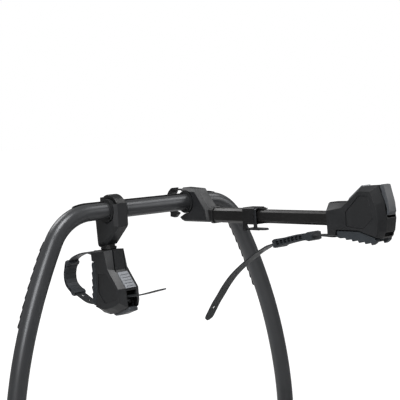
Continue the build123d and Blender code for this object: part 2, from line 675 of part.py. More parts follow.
def centre_frame():
    solid = None
    parts = [
        box_tube(-FRAME_HALF, FRAME_HALF, FRONT_Y - BEAM_D / 2, FRONT_Y + BEAM_D / 2, BEAM_LOW, BEAM_TOP, 2.5, 0),
        box_tube(-FRAME_HALF, FRAME_HALF, REAR_Y - BEAM_D / 2, REAR_Y + BEAM_D / 2, BEAM_LOW, BEAM_TOP, 2.5, 0),
        box_tube(-70, -30, FRONT_Y + BEAM_D / 2, REAR_Y - BEAM_D / 2, BEAM_LOW, BEAM_TOP, 2.5, 1),
        box_tube(30, 70, FRONT_Y + BEAM_D / 2, REAR_Y - BEAM_D / 2, BEAM_LOW, BEAM_TOP, 2.5, 1),
    ]
    for outer, inner in parts:
        solid = outer if solid is None else solid + outer
    shell = solid
    for outer, inner in parts[:2]:
        shell = shell - inner
    for outer, inner in parts[2:]:
        box = inner.bounding_box()
        shell = shell - block(box.min.X, box.max.X, box.min.Y + 1, box.max.Y - 1, box.min.Z, box.max.Z)
    ears = None
    for x0, x1 in ((-36.0, -24.5), (24.5, 36.0)):
        ear = block(x0, x1, TILT_Y, FRONT_Y - BEAM_D / 2, -18, 14) + rod_x(16.0, x0, x1, TILT_Y, TILT_Z)
        ears = ear if ears is None else ears + ear
    ears = ears - rod_x(8.0, -60, 60, TILT_Y, TILT_Z)
    shell = shell + ears
    for side in (-1, 1):
        x = side * WING_AXIS_X
        for y in (FRONT_Y, REAR_Y):
            knuckle = rod_y(KNUCKLE_R, y - 15, y + 15, x, WING_Z)
            inner = side * (FRAME_HALF - 12)
            web = block(min(x, inner), max(x, inner), y - 15, y + 15, 8, 20)
            shell = shell + knuckle + web
        shell = shell - rod_y(5.0, 60, 500, x, WING_Z)
    lugs = block(-48, -42, 455, 478, -34, -18) + block(42, 48, 455, 478, -34, -18)
    shell = shell + lugs - rod_x(4.0, -60, 60, 470.0, -27.0)
    return shell


def tilt_pin():
    return rod_x(8.0, -40, 40, TILT_Y, TILT_Z) - rod_x(5.0, -50, 50, TILT_Y, TILT_Z)


def foot_pedal():
    body = rod_x(7.0, -41.5, 41.5, 470.0, -27.0) + block(-38, 38, 470, 530, -33, -27)
    for count in range(4):
        body = body + block(-34, 34, 488 + 10 * count, 492 + 10 * count, -27.5, -25)
    return body - rod_x(4.0 + RUN, -60, 60, 470.0, -27.0)


def hoop_bracket(side):
    x = side * LEG_X
    body = block(x - 26, x + 26, FOOT_Y - 20, FOOT_Y + 20, BEAM_TOP, BEAM_TOP + 4)
    for a, b in ((-17.5, -11.4), (11.4, 17.5)):
        cheek = block(x + a, x + b, FOOT_Y - 17, FOOT_Y + 17, BEAM_TOP + 3, HINGE_Z)
        cheek = cheek + rod_x(17.0, x + a, x + b, FOOT_Y, HINGE_Z)
        body = body + cheek
    body = body - rod_x(5.0, x - 40, x + 40, FOOT_Y, HINGE_Z)
    for dx in (-21.8, 21.8):
        body = body - rod_z(2.6, 0, 40, x + dx, FOOT_Y)
    return body


def hoop_pin(side):
    x = side * LEG_X
    return rod_x(5.0, x - 22, x + 22, FOOT_Y, HINGE_Z)


def wing(side):
    x = side * WING_AXIS_X
    a = side * (WING_AXIS_X + 12)
    b = side * WING_END
    low, high = min(a, b), max(a, b)
    body = block(low, high, 165, 187, 12, 32) + block(low, high, 383, 405, 12, 32)
    c = side * (WING_END - 24)
    body = body + block(min(b, c), max(b, c), 165, 405, 12, 32)
    d = side * (WING_AXIS_X + 40)
    e = side * (WING_AXIS_X + 64)
    body = body + block(min(d, e), max(d, e), 165, 405, 12, 32)
    for y0, y1 in ((165, 187), (383, 405)):
        body = body + rod_y(KNUCKLE_R, y0, y1, x, WING_Z)
        body = body + block(min(x, a), max(x, a), y0, y1, 15, 30)
    return body - rod_y(5.0 + RUN, 60, 500, x, WING_Z)


def wing_pin(side):
    return rod_y(5.0, FRONT_Y - 18, REAR_Y + 18, side * WING_AXIS_X, WING_Z)


TRAY_MIDS = (200.0, 349.0)


def tray(side, y):
    x0 = side * (WING_AXIS_X + 46)
    x1 = side * WING_END
    low, high = min(x0, x1), max(x0, x1)
    body = block(low, high, y - 34, y + 34, 32, 62)
    body = body - block(low + 4, high - 4, y - 30, y + 30, 36, 70)
    body = body - block(low - 1, high + 1, y - 24, y + 24, 44, 70)
    return body


def wheel_strap(side, y):
    x = side * WHEEL_STRAP_X
    path = Plane(origin=(x, 0, 0), x_dir=(0, 1, 0), z_dir=(1, 0, 0)) * ThreePointArc((y - 36.4, 50), (y, 104), (y + 36.4, 50))
    start = Plane(origin=path @ 0, x_dir=(1, 0, 0), z_dir=path % 0)
    return sweep(start * Rectangle(24, 2.8), path)


def wheel_buckle(side, y):
    x = side * WHEEL_STRAP_X
    body = block(x - 16, x + 16, y + 34, y + 47, 40, 66)
    lever = block(x - 13, x + 13, y + 46, y + 52, 44, 92)
    return body + lever


def lamp_housing(side):
    x0 = side * LAMP_X
    x1 = side * WING_END
    low, high = min(x0, x1), max(x0, x1)
    body = block(low, high, 405, 452, 6, 72)
    body = chamfer(body.edges().filter_by(Axis.Y), 9.0)
    return body - block(low + 7, high - 7, 425, 470, 13, 65)


def lamp_lens(side):
    x0 = side * (LAMP_X + 7.3)
    x1 = side * (WING_END - 7.3)
    low, high = min(x0, x1), max(x0, x1)
    body = block(low, high, 446, 456, 13.3, 64.7)
    return body - block(low + 2.5, high - 2.5, 440, 453, 16, 62)


def build_platform():
    keep("coupling_housing", coupling_housing())
    keep("coupling_jaw", coupling_jaw())
    keep("coupling_lever", coupling_lever())
    keep("coupling_pins", rod_x(4.0, -34, 34, -38.0, 13.0), rod_x(4.0, -30, 30, 42.0, 55.0))
    keep("spine", spine())
    keep("centre_frame", centre_frame())
    keep("foot_pedal", foot_pedal())
    keep("hoop_brackets", hoop_bracket(-1), hoop_bracket(1))
    for side, word in ((-1, "left"), (1, "right")):
        keep("wing_" + word, wing(side))
        keep("wheel_trays_" + word, *[tray(side, y) for y in TRAY_MIDS])
        straps = [wheel_strap(side, y) for y in TRAY_MIDS]
        buckles = [wheel_buckle(side, y) - straps[n] for n, y in enumerate(TRAY_MIDS)]
        keep("wheel_straps_" + word, *straps, *buckles)
        keep("lamp_housing_" + word, lamp_housing(side))
        keep("lamp_lens_" + word, lamp_lens(side))
    pedal_pin = rod_x(4.0, -50, 50, 470.0, -27.0)
    pins = [tilt_pin(), pedal_pin, hoop_pin(-1), hoop_pin(1), wing_pin(-1), wing_pin(1)]
    keep("frame_pins", *pins)


if __name__ == "__main__":
    build_platform()
    build_hoop()
    build_arms()
    for name, shape in NODES.items():
        export_step(shape, "parts/" + name + ".step")
        print(name, len(shape.solids()), round(shape.volume, 1), shape.is_valid)
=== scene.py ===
"""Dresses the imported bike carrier: finishes, detail pieces, a plain studio and the camera."""

import json
import math

import bmesh
import bpy
from bpy.props import FloatProperty, FloatVectorProperty, PointerProperty
from mathutils import Matrix, Vector


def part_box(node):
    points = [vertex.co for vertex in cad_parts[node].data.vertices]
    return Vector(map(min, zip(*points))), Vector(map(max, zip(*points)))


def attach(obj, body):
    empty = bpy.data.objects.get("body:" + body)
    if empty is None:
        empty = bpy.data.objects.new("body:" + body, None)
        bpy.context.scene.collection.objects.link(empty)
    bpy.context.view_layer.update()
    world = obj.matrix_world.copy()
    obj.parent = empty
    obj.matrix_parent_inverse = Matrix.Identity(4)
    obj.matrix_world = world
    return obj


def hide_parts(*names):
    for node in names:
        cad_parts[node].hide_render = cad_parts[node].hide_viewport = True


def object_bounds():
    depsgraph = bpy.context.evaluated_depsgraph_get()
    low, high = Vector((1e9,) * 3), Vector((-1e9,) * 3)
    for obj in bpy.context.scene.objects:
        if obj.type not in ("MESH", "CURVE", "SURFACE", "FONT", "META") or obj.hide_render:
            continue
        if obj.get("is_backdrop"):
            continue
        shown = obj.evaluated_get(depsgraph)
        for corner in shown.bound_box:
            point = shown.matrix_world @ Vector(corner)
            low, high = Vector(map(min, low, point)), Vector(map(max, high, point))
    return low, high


bl_info = {
    "name": "Tow bar bike carrier",
    "version": (1, 0, 0),
    "blender": (4, 5, 0),
    "location": "View3D > Sidebar > Bike carrier",
    "description": "Finishes and detail pieces for a folding bike carrier built on its CAD frame",
    "category": "Object",
}

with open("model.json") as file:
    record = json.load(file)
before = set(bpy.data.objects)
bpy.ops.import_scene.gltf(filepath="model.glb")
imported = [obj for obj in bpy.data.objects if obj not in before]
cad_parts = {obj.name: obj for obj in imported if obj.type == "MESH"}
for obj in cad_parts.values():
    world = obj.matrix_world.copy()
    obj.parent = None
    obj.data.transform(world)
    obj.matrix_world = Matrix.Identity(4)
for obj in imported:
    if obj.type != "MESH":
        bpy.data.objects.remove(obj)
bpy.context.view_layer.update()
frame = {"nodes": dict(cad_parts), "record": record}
MM = 0.001
SIDES = ((-1, "left"), (1, "right"))

# The camera stands behind the carrier, to the right of it, a little above the crossbar
CAMERA_PLACE = (1.2381, 1.5957, 0.9121)
CAMERA_LOOK = (-0.6640, -0.7374, -0.1241)
# Its lens and sensor in mm, and how far it sees in metres
CAMERA_LENS = 88.92
CAMERA_SENSOR = 36.0
CAMERA_REACH = 60.0
# The floor lies as far down as the ground under a tow ball, so that the platform can tilt above it
FLOOR_DROP = 0.40


def linear(code):
    """An sRGB hex colour as linear RGBA."""
    parts = [int(code[i : i + 2], 16) / 255 for i in (1, 3, 5)]
    return [c / 12.92 if c <= 0.04045 else ((c + 0.055) / 1.055) ** 2.4 for c in parts] + [1.0]


def put(tree, kind, settings=None, inputs=None, links=None):
    """Adds one node with its settings, its socket values and the links into it."""
    node = tree.nodes.new(kind)
    for key, value in (settings or {}).items():
        setattr(node, key, value)
    for key, value in (inputs or {}).items():
        node.inputs[key].default_value = value
    for key, source in (links or {}).items():
        tree.links.new(source, node.inputs[key])
    return node


# Depth of the finest grain, and how rough a clear coat is
GRAIN_DEPTH = 0.12 * MM
COAT_ROUGH = 0.25


def finish_of(name, base, other, patch, rough, grain, bump, metallic=0.0, coat=0.0, ior=1.5, spread=0.06):
    """A surface with two close colours in patches and a moulded or coated grain, sizes in mm."""
    made = bpy.data.materials.new(name)
    made.use_nodes = True
    tree = made.node_tree
    tree.nodes.clear()
    place = put(tree, "ShaderNodeTexCoord")
    clouds = put(
        tree, "ShaderNodeTexNoise", inputs={"Scale": 1 / (patch * MM), "Detail": 3.0, "Roughness": 0.55},
        links={"Vector": place.outputs["Object"]},
    )
    tint = put(
        tree, "ShaderNodeMix", {"data_type": "RGBA"},
        {"A": linear(base), "B": linear(other)}, {"Factor": clouds.outputs["Fac"]},
    )
    shine = put(
        tree, "ShaderNodeMapRange",
        inputs={"From Min": 0.25, "From Max": 0.75, "To Min": rough - spread, "To Max": rough + spread},
        links={"Value": clouds.outputs["Fac"]},
    )
    fine = put(
        tree, "ShaderNodeTexNoise",
        inputs={"Scale": 1 / (grain * MM), "Detail": 2.0, "Roughness": 0.6},
        links={"Vector": place.outputs["Object"]},
    )
    relief = put(
        tree, "ShaderNodeBump", inputs={"Strength": bump, "Distance": GRAIN_DEPTH},
        links={"Height": fine.outputs["Fac"]},
    )
    shader = put(
        tree, "ShaderNodeBsdfPrincipled",
        inputs={"Metallic": metallic, "IOR": ior, "Coat Weight": coat, "Coat Roughness": COAT_ROUGH},
        links={
            "Base Color": tint.outputs["Result"],
            "Roughness": shine.outputs["Result"],
            "Normal": relief.outputs["Normal"],
        },
    )
    put(tree, "ShaderNodeOutputMaterial", links={"Surface": shader.outputs["BSDF"]})
    return made


def make_materials():
    """Every finish of the carrier, named for what it is."""
    return {
        # Powder coat on aluminium tube: satin, with a faint orange peel
        "powder_coat": finish_of("graphite_powder_coat", "#414244", "#47484a", 70, 0.36, 2.2, 0.03, 0.5),
        # Glass-filled polyamide from an eroded mould: black, even, slightly sandy
        "moulded": finish_of("moulded_polyamide", "#18191b", "#1d1e20", 30, 0.46, 0.7, 0.25, ior=1.42),
        # The same polyamide with a coarser spark-eroded grain, which looks duller
        "panel": finish_of("textured_polyamide_panel", "#141517", "#18191b", 24, 0.52, 0.55, 0.45, ior=1.42),
        # Plain black polyamide: slightly smoother and darker
        "plain_black": finish_of("black_polyamide", "#0f0f10", "#131314", 24, 0.42, 0.6, 0.2, ior=1.42),
        # Rubber: dull, a little dusty; bluer and lighter where it touches the bike
        "rubber": finish_of("black_rubber", "#111213", "#17181a", 14, 0.68, 0.8, 0.4, ior=1.42),
        "pad": finish_of("slate_rubber", "#262a2e", "#2d3237", 16, 0.58, 0.8, 0.35, ior=1.42),
        "sleeve": finish_of("slate_strap_rubber", "#232629", "#2a2e32", 14, 0.5, 0.8, 0.3, ior=1.42),
        # Thermoplastic strap: satin, smoother than rubber
        "strap": finish_of("strap_elastomer", "#202224", "#27292b", 20, 0.40, 0.9, 0.15, ior=1.42),
        # Dyed polyamide of the buttons: the lightest plastic on the carrier
        "grey": finish_of("grey_polyamide", "#72757a", "#7a7d82", 18, 0.40, 0.7, 0.25),
        # Lacquer on die cast alloy: smooth, with a hard edge to its highlights
        "lever": finish_of("grey_lacquered_alloy", "#3f4246", "#45484c", 22, 0.46, 1.4, 0.05),
        # Black anodised extrusion: fine lines are too small to show, so a soft grain
        "anodised": finish_of("black_anodised_aluminium", "#141414", "#191818", 60, 0.36, 0.6, 0.1, 0.2),
        # Blackened steel: dark with a soft metal sheen
        "dark_steel": finish_of("dark_steel", "#2c2d2f", "#36373a", 20, 0.34, 0.7, 0.12, 0.5),
        # Zinc plate: bright with faint patches
        "steel": finish_of("zinc_plated_steel", "#8d8f90", "#9fa1a2", 8, 0.35, 0.6, 0.1, 0.9),
        # Black paint on steel: almost even, slightly shiny
        "black_steel": finish_of("black_coated_steel", "#161718", "#1d1e1f", 26, 0.36, 1.0, 0.18, 0.1),
        # Polycarbonate lens: clear gloss over a deep red
        "lens": finish_of(
            "red_polycarbonate", "#8c1014", "#7a0c10", 30, 0.18, 3.0, 0.1, coat=0.4, ior=1.58, spread=0.02,
        ),
    }


FINISHES = make_materials()

NODE_FINISH = {
    "coupling_housing": "black_steel", "coupling_jaw": "steel", "coupling_lever": "plain_black",
    "coupling_pins": "steel", "spine": "black_steel", "centre_frame": "powder_coat", "frame_pins": "steel",
    "foot_pedal": "plain_black", "hoop_brackets": "black_steel", "hoop_tube": "powder_coat",
    "crossbar_strip": "rubber", "leg_bumpers": "rubber", "hoop_feet": "plain_black",
    "wing_left": "powder_coat", "wing_right": "powder_coat",
    "wheel_trays_left": "plain_black", "wheel_trays_right": "plain_black",
    "wheel_straps_left": "strap", "wheel_straps_right": "strap",
    "lamp_housing_left": "plain_black", "lamp_housing_right": "plain_black",
    "lamp_lens_left": "lens", "lamp_lens_right": "lens",
}
ARM_FINISH = {
    "clamp_body": "moulded", "clamp_liner": "rubber", "clamp_jaw": "plain_black",
    "clamp_screw": "black_steel", "tube_collar": "plain_black", "tube_clip": "plain_black",
    "outer_tube": "anodised", "inner_tube": "anodised", "neck_tube": "anodised",
    "clip_bar": "dark_steel", "length_latch": "dark_steel",
    "head_shell_left": "moulded", "head_shell_right": "moulded", "side_panels": "panel",
    "release_button": "grey", "side_frame": "black_steel", "ratchet_drum": "dark_steel",
    "ratchet_lever": "lever", "grip_pad": "pad", "strap": "strap", "strap_sleeve": "sleeve",
}

# How far the edges of each piece are rounded, in mm, and how many faces the rounding has. Pieces that aren't
# named here keep their edges or are made anew
EDGES = {
    "crossbar_strip": (0.9, 2), "leg_bumpers": (1.1, 2), "hoop_feet": (1.2, 2),
    "hoop_brackets": (1.0, 2), "centre_frame": (1.6, 2), "wing_left": (1.6, 2), "wing_right": (1.6, 2),
    "wheel_trays_left": (1.2, 2), "wheel_trays_right": (1.2, 2), "lamp_housing_left": (1.4, 2),
    "lamp_housing_right": (1.4, 2), "lamp_lens_left": (0.9, 2), "lamp_lens_right": (0.9, 2),
    "coupling_housing": (1.6, 2), "coupling_jaw": (1.2, 2), "coupling_lever": (1.8, 3), "spine": (1.4, 2),
    "foot_pedal": (1.6, 2), "frame_pins": (0.5, 1), "coupling_pins": (0.5, 1),
}
ARM_EDGES = {
    "clamp_body": (2.2, 3), "clamp_liner": (0.35, 1), "clamp_jaw": (1.3, 2), "clamp_screw": (0.6, 2),
    "outer_tube": (1.4, 2), "inner_tube": (1.4, 2), "neck_tube": (1.4, 2), "tube_clip": (0.8, 2),
    "clip_bar": (0.6, 2), "length_latch": (0.7, 2), "head_shell_left": (2.0, 3),
    "head_shell_right": (2.0, 3), "side_panels": (0.9, 2), "release_button": (0.6, 2),
    "side_frame": (0.3, 1), "ratchet_drum": (0.25, 1), "ratchet_lever": (1.4, 3), "grip_pad": (1.2, 2),
}

# Pieces that slide in one another: only their outward edges are rounded
SLIDING = ("outer_tube", "inner_tube", "neck_tube", "clamp_liner")
# Clearance of the crossbar's strip under the clamp liners
STRIP_GAP = 0.08 * MM
# Points closer than this are one
WELD = 0.004 * MM
# Angles in degrees: two faces under the first are one, a CAD edge over the second is rounded, and an edge
# over the others is shaded sharp
FLAT_ANGLE = 0.4
CAD_SHARP_ANGLE = 24
SMOOTH_ANGLE = 50
HOOP_SMOOTH_ANGLE = 60


def arm_part(name):
    """The name of an arm's node without its arm, or None for the rest of the carrier."""
    return name.split("_", 1)[1] if name.startswith(("long_", "short_")) else None


def finish_name(node):
    """The name of a CAD node's finish."""
    part = arm_part(node)
    return ARM_FINISH[part] if part else NODE_FINISH[node]


def keep_piece(name, mesh, body, finish, replaced=(), smooth=SMOOTH_ANGLE, even=True):
    """Makes an object of a bmesh, with its finish, shading, body and the CAD nodes it stands for."""
    data = bpy.data.meshes.new(name)
    mesh.to_mesh(data)
    mesh.free()
    piece = bpy.data.objects.new(name, data)
    bpy.context.scene.collection.objects.link(piece)
    data.materials.append(FINISHES[finish])
    data.shade_smooth()
    data.set_sharp_from_angle(angle=math.radians(smooth))
    if even:
        piece.modifiers.new("even_normals", "WEIGHTED_NORMAL").keep_sharp = True
    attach(piece, body)
    if replaced:
        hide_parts(*replaced)


def body_of(node):
    """The body that carries a CAD node."""
    for body, members in frame["record"]["behaviour"]["bodies"].items():
        if node in members:
            return body
    raise RuntimeError("no body carries " + node)


def round_sharp(mesh, radius, steps, angle, outward=False):
    """Rounds every edge that is sharper than an angle, or only the outward ones."""
    sharp = [e for e in mesh.edges if e.is_manifold and e.calc_face_angle(0.0) > math.radians(angle)]
    if outward:
        sharp = [e for e in sharp if e.is_convex]
    bmesh.ops.bevel(
        mesh, geom=sharp, offset=radius * MM, offset_type="OFFSET", segments=steps, profile=0.5,
        affect="EDGES", clamp_overlap=True, material=-1,
    )


def merged_copy(node):
    """A copy of a CAD node's mesh with its loose triangles joined into whole faces."""
    mesh = bmesh.new()
    mesh.from_mesh(frame["nodes"][node].data)
    bmesh.ops.remove_doubles(mesh, verts=mesh.verts, dist=WELD)
    bmesh.ops.dissolve_limit(
        mesh, angle_limit=math.radians(FLAT_ANGLE), verts=mesh.verts, edges=mesh.edges,
    )
    return mesh


def box_mm(node):
    """The lowest and highest corner of a CAD node in mm."""
    return [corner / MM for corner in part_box(node)]


def add_block(mesh, block, place=(0, 0, 0)):
    """Adds a block to a bmesh, given by two corners about its place and its edges' radius, in mm."""
    low, high, radius = block
    made = bmesh.ops.create_cube(mesh, size=1.0)["verts"]
    bmesh.ops.scale(mesh, verts=made, vec=[(b - a) * MM for a, b in zip(low, high)])
    middle = [((a + b) / 2 + at) * MM for a, b, at in zip(low, high, place)]
    bmesh.ops.translate(mesh, verts=made, vec=middle)
    edges = list({edge for vert in made for edge in vert.link_edges})
    bmesh.ops.bevel(
        mesh, geom=edges, offset=radius * MM, offset_type="OFFSET", segments=2, profile=0.5,
        affect="EDGES", clamp_overlap=True, material=-1,
    )


def pour(mesh, into):
    """Empties one bmesh into another."""
    held = bpy.data.meshes.new("held")
    mesh.to_mesh(held)
    mesh.free()
    into.from_mesh(held)
    bpy.data.meshes.remove(held)


def rounded_copy(node, radius, steps):
    """A copy of a CAD node's shape with its sharp edges rounded."""
    mesh = merged_copy(node)
    round_sharp(mesh, radius, steps, CAD_SHARP_ANGLE, arm_part(node) in SLIDING)
    if node == "crossbar_strip":
        mesh.normal_update()
        for vert in mesh.verts:
            vert.co -= vert.normal * STRIP_GAP
    return mesh


# The crossbar's middle, in mm behind the tow ball and above it
CROSSBAR = (71.7, 655.0)
# Each arm's place: its middle along the crossbar and the slope of its axis, in mm and degrees
ARMS = {"long": (-110.0, 4.8), "short": (92.5, -81.5)}
# Lines of the straps in the arm's own plane, along the arm and up from the crossbar, in mm
STRAP_LINES = {
    "long": [
        (404, -54), (392, -58.5), (350, -58), (300, -64.5), (230, -80.5), (210, -88.5), (187, -100),
        (146, -125), (116, -147), (92, -170), (76, -188.5), (59.5, -207), (45, -226), (30, -246),
    ],
    "short": [
        (92, -60), (84, -74), (81, -95), (84, -120), (92, -146), (106, -163), (126, -171), (145, -168),
        (160, -150), (171, -128), (180, -106), (183, -84), (181.5, -55), (170, -10), (166, 12),
        (165.8, 52), (152.5, 132),
    ],
}
# Places of the holes in each strap, as shares of its length
STRAP_HOLES = {"long": (0.48, 0.69, 0.917), "short": (0.42, 0.47, 0.52, 0.57, 0.985)}
SLEEVE_LINES = {
    "long": [(340, -59.3), (300, -64.5), (241, -78)],
    "short": [(98, -153.5), (106, -163), (126, -171), (145, -168), (160, -150), (165, -141)],
}
# Each sleeve's thickness in mm, its slots in a row, where the row starts and stops along it, its ends' swell
SLEEVES = {"long": (12.0, 7, 0.24, 0.93, 0.42), "short": (7.0, 6, 0.13, 0.87, 0.55)}
# Steps between two points of a line
SPAN_STEPS = 10


class BentLine:
    """A smooth line through points in an upright plane, read by the length along it in metres."""

    def __init__(self, x, tilt, origin, points):
        self.x = x
        self.origin = origin
        self.turn = Matrix.Rotation(math.radians(tilt), 2)
        ends = [points[0]] + list(points) + [points[-1]]
        self.spots = []
        for n in range(len(points) - 1):
            p0, p1, p2, p3 = (Vector(ends[n + k]) for k in range(4))
            for step in range(SPAN_STEPS):
                t = step / SPAN_STEPS
                spot = 2 * p1 + (p2 - p0) * t + (2 * p0 - 5 * p1 + 4 * p2 - p3) * t * t
                self.spots.append((spot + (3 * p1 - p0 - 3 * p2 + p3) * t**3) / 2)
        self.spots.append(Vector(points[-1]))
        self.reach = [0.0]
        for a, b in zip(self.spots, self.spots[1:]):
            self.reach.append(self.reach[-1] + (b - a).length)

    @property
    def length(self):
        return self.reach[-1] * MM

    def place(self, across, along, height):
        """The point at a length along the line, set off sideways and up from it."""
        want = min(max(along / MM, 0.0), self.reach[-1])
        n = max(k for k in range(len(self.reach) - 1) if self.reach[k] <= want)
        a, b = self.spots[n], self.spots[n + 1]
        run = b - a
        spot = a + run * ((want - self.reach[n]) / max(run.length, 1e-9))
        ahead = (self.spots[min(n + 2, len(self.spots) - 1)] - self.spots[max(n - 1, 0)]).normalized()
        spot = spot + Vector((ahead.y, -ahead.x)) * (height / MM)
        flat = self.turn @ spot
        return Vector((self.x * MM + across, (self.origin[0] + flat.x) * MM, (self.origin[1] + flat.y) * MM))

    def bend(self, mesh):
        """Lays a straight bmesh, which runs along Y, on the line."""
        for vert in mesh.verts:
            vert.co = self.place(*vert.co)
        bmesh.ops.recalc_face_normals(mesh, faces=mesh.faces)


# Straps: the length of one row of faces, the fewest rows and the faces across
STRAP_ROW = 6 * MM
STRAP_ROWS_LEAST = 8
STRAP_LANES = 4
# How much longer than wide a hole is, and the square of the share of its width that a tip keeps at its end
HOLE_STRETCH = 1.5
TIP_LEAST = 0.06


def straight_strap(length, width, thick, holes, hole_size, tipped=True):
    """A flat strap along Y with long holes and, if asked, a rounded far end."""
    mesh = bmesh.new()
    rows = max(STRAP_ROWS_LEAST, round(length / STRAP_ROW))
    bmesh.ops.create_grid(mesh, x_segments=STRAP_LANES, y_segments=rows, size=0.5)
    bmesh.ops.scale(mesh, verts=mesh.verts, vec=(width, length, 1))
    bmesh.ops.translate(mesh, verts=mesh.verts, vec=(0, length / 2, 0))
    for hole in holes:
        middle = min(mesh.verts, key=lambda v: (v.co - Vector((0, hole, 0))).length)
        centre = middle.co.copy()
        bmesh.ops.bevel(
            mesh, geom=[middle], offset=hole_size, offset_type="OFFSET", segments=1, profile=0.5,
            affect="VERTICES", clamp_overlap=True, material=-1,
        )
        ring = min(mesh.faces, key=lambda f: (f.calc_center_median() - centre).length)
        bmesh.ops.subdivide_edges(mesh, edges=list(ring.edges), cuts=1)
        ring = min(mesh.faces, key=lambda f: (f.calc_center_median() - centre).length)
        for vert in ring.verts:
            away = (vert.co - centre).normalized() * hole_size
            vert.co = centre + Vector((away.x, HOLE_STRETCH * away.y, 0))
        bmesh.ops.delete(mesh, geom=[ring], context="FACES_ONLY")
    tip = width / 2
    for vert in mesh.verts:
        past = (vert.co.y - (length - tip)) / tip
        if tipped and past > 0:
            vert.co.x *= math.sqrt(max(TIP_LEAST, 1 - past * past))
    bmesh.ops.solidify(mesh, geom=mesh.faces[:], thickness=thick)
    low = min(v.co.z for v in mesh.verts)
    bmesh.ops.translate(mesh, verts=mesh.verts, vec=(0, 0, -thick / 2 - low))
    return mesh


# Sleeves: the cuts between an end and the row of slots, as shares of that stretch
END_CUTS = (0.3, 0.6)
# A swollen end's share of the sleeve, and as shares of that end, where it is thickest and how far it reaches
SWELL_SHARE = 0.13
SWELL_PEAK = 0.55
SWELL_REACH = 0.75
# How much wider the sleeve is there
SWELL_WIDER = 0.08
# A slot's share of its step and of the side's height, the edge around it and its depth
SLOT_SHARE = 0.76
SLOT_HEIGHT = 0.6
SLOT_EDGE = 0.3 * MM
SLOT_DEPTH = 6 * MM
# How far a rib is drawn in and how high it stands
RIB_STEP = 0.5 * MM
# A face looks along an axis when its normal has more than this share of it
FACING = 0.9


def straight_sleeve(length, width, thick, count, start, stop, lump):
    """A rubber sleeve along Y with thicker ends, cross ribs and a row of slots in each side."""
    mesh = bmesh.new()
    bmesh.ops.create_cube(mesh, size=1.0)
    bmesh.ops.scale(mesh, verts=mesh.verts, vec=(width, length, thick))
    bmesh.ops.translate(mesh, verts=mesh.verts, vec=(0, length / 2, 0))
    end = SWELL_SHARE * length
    first = start * length
    last = stop * length
    step = (last - first) / count
    cuts = [last] + [share * first for share in END_CUTS]
    cuts += [length - share * (length - last) for share in END_CUTS]
    for n in range(count):
        cuts += [first + step * n, first + step * (n + SLOT_SHARE)]
    for cut in sorted(cuts):
        whole = mesh.verts[:] + mesh.edges[:] + mesh.faces[:]
        bmesh.ops.bisect_plane(mesh, geom=whole, plane_co=(0, cut, 0), plane_no=(0, 1, 0))
    mesh.normal_update()
    slots = []
    ribs = []
    for face in mesh.faces:
        middle = face.calc_center_median()
        share = (middle.y - first) / step % 1.0
        inside = first < middle.y < last and share < SLOT_SHARE
        if abs(face.normal.x) > FACING and inside:
            slots.append(face)
        if abs(face.normal.z) > FACING and inside:
            ribs.append(face)
    bmesh.ops.inset_individual(mesh, faces=slots, thickness=SLOT_EDGE, depth=0.0)
    for face in slots:
        bmesh.ops.scale(mesh, verts=face.verts, vec=(1, 1, SLOT_HEIGHT))
        inward = Vector((-1.0 if face.normal.x > 0 else 1.0, 0, 0))
        made = bmesh.ops.extrude_discrete_faces(mesh, faces=[face])
        bmesh.ops.translate(mesh, verts=made["faces"][0].verts, vec=inward * SLOT_DEPTH)
    bmesh.ops.inset_individual(mesh, faces=ribs, thickness=RIB_STEP, depth=RIB_STEP)
    for vert in mesh.verts:
        ends = min(vert.co.y, length - vert.co.y)
        swell = max(0.0, 1 - abs(ends - SWELL_PEAK * end) / (SWELL_REACH * end))
        vert.co.z *= 1 + lump * swell
        vert.co.x *= 1 + SWELL_WIDER * swell
    return mesh


class CarrierSizes(bpy.types.PropertyGroup):
    """Sizes of the pieces that are made here."""

    strap_width: FloatProperty(
        name="Strap width", description="Width of the straps", default=22.4 * MM, unit="LENGTH",
    )
    strap_thick: FloatProperty(
        name="Strap thickness", description="Thickness of the straps", default=2.6 * MM, unit="LENGTH",
    )
    hole: FloatProperty(
        name="Strap hole", description="Half the width of the holes in the straps", default=2.7 * MM,
        unit="LENGTH",
    )
    sleeve_width: FloatProperty(
        name="Sleeve width", description="Width of the rubber sleeves", default=27 * MM, unit="LENGTH",
    )
    edge: FloatProperty(
        name="Edge rounding", description="How strongly all edges are rounded, 1 as on the real carrier",
        default=1.0, min=0.1, max=2.0, subtype="FACTOR",
    )


class CarrierColours(bpy.types.PropertyGroup):
    """Colours that a user may change."""

    floor: FloatVectorProperty(
        name="Floor", description="Colour of the floor", subtype="COLOR", size=3, default=(0.85, 0.85, 0.85),
    )


class CARRIER_OT_finishes(bpy.types.Operator):
    """Gives every CAD node its finish"""

    bl_idname = "carrier.finishes"
    bl_label = "Finishes"

    def execute(self, context):
        for name, node in frame["nodes"].items():
            node.data.materials.clear()
            node.data.materials.append(FINISHES[finish_name(name)])
        return {"FINISHED"}


class CARRIER_OT_moulded_edges(bpy.types.Operator):
    """Rounds the edges of the moulded, cast and drawn pieces"""

    bl_idname = "carrier.moulded_edges"
    bl_label = "Rounded edges"

    def execute(self, context):
        share = context.scene.carrier_sizes.edge
        for name in frame["nodes"]:
            edge = ARM_EDGES.get(arm_part(name)) or EDGES.get(name)
            if edge:
                radius, steps = edge
                mesh = rounded_copy(name, radius * share, steps)
                keep_piece(name + "_rounded", mesh, body_of(name), finish_name(name), [name])
        return {"FINISHED"}


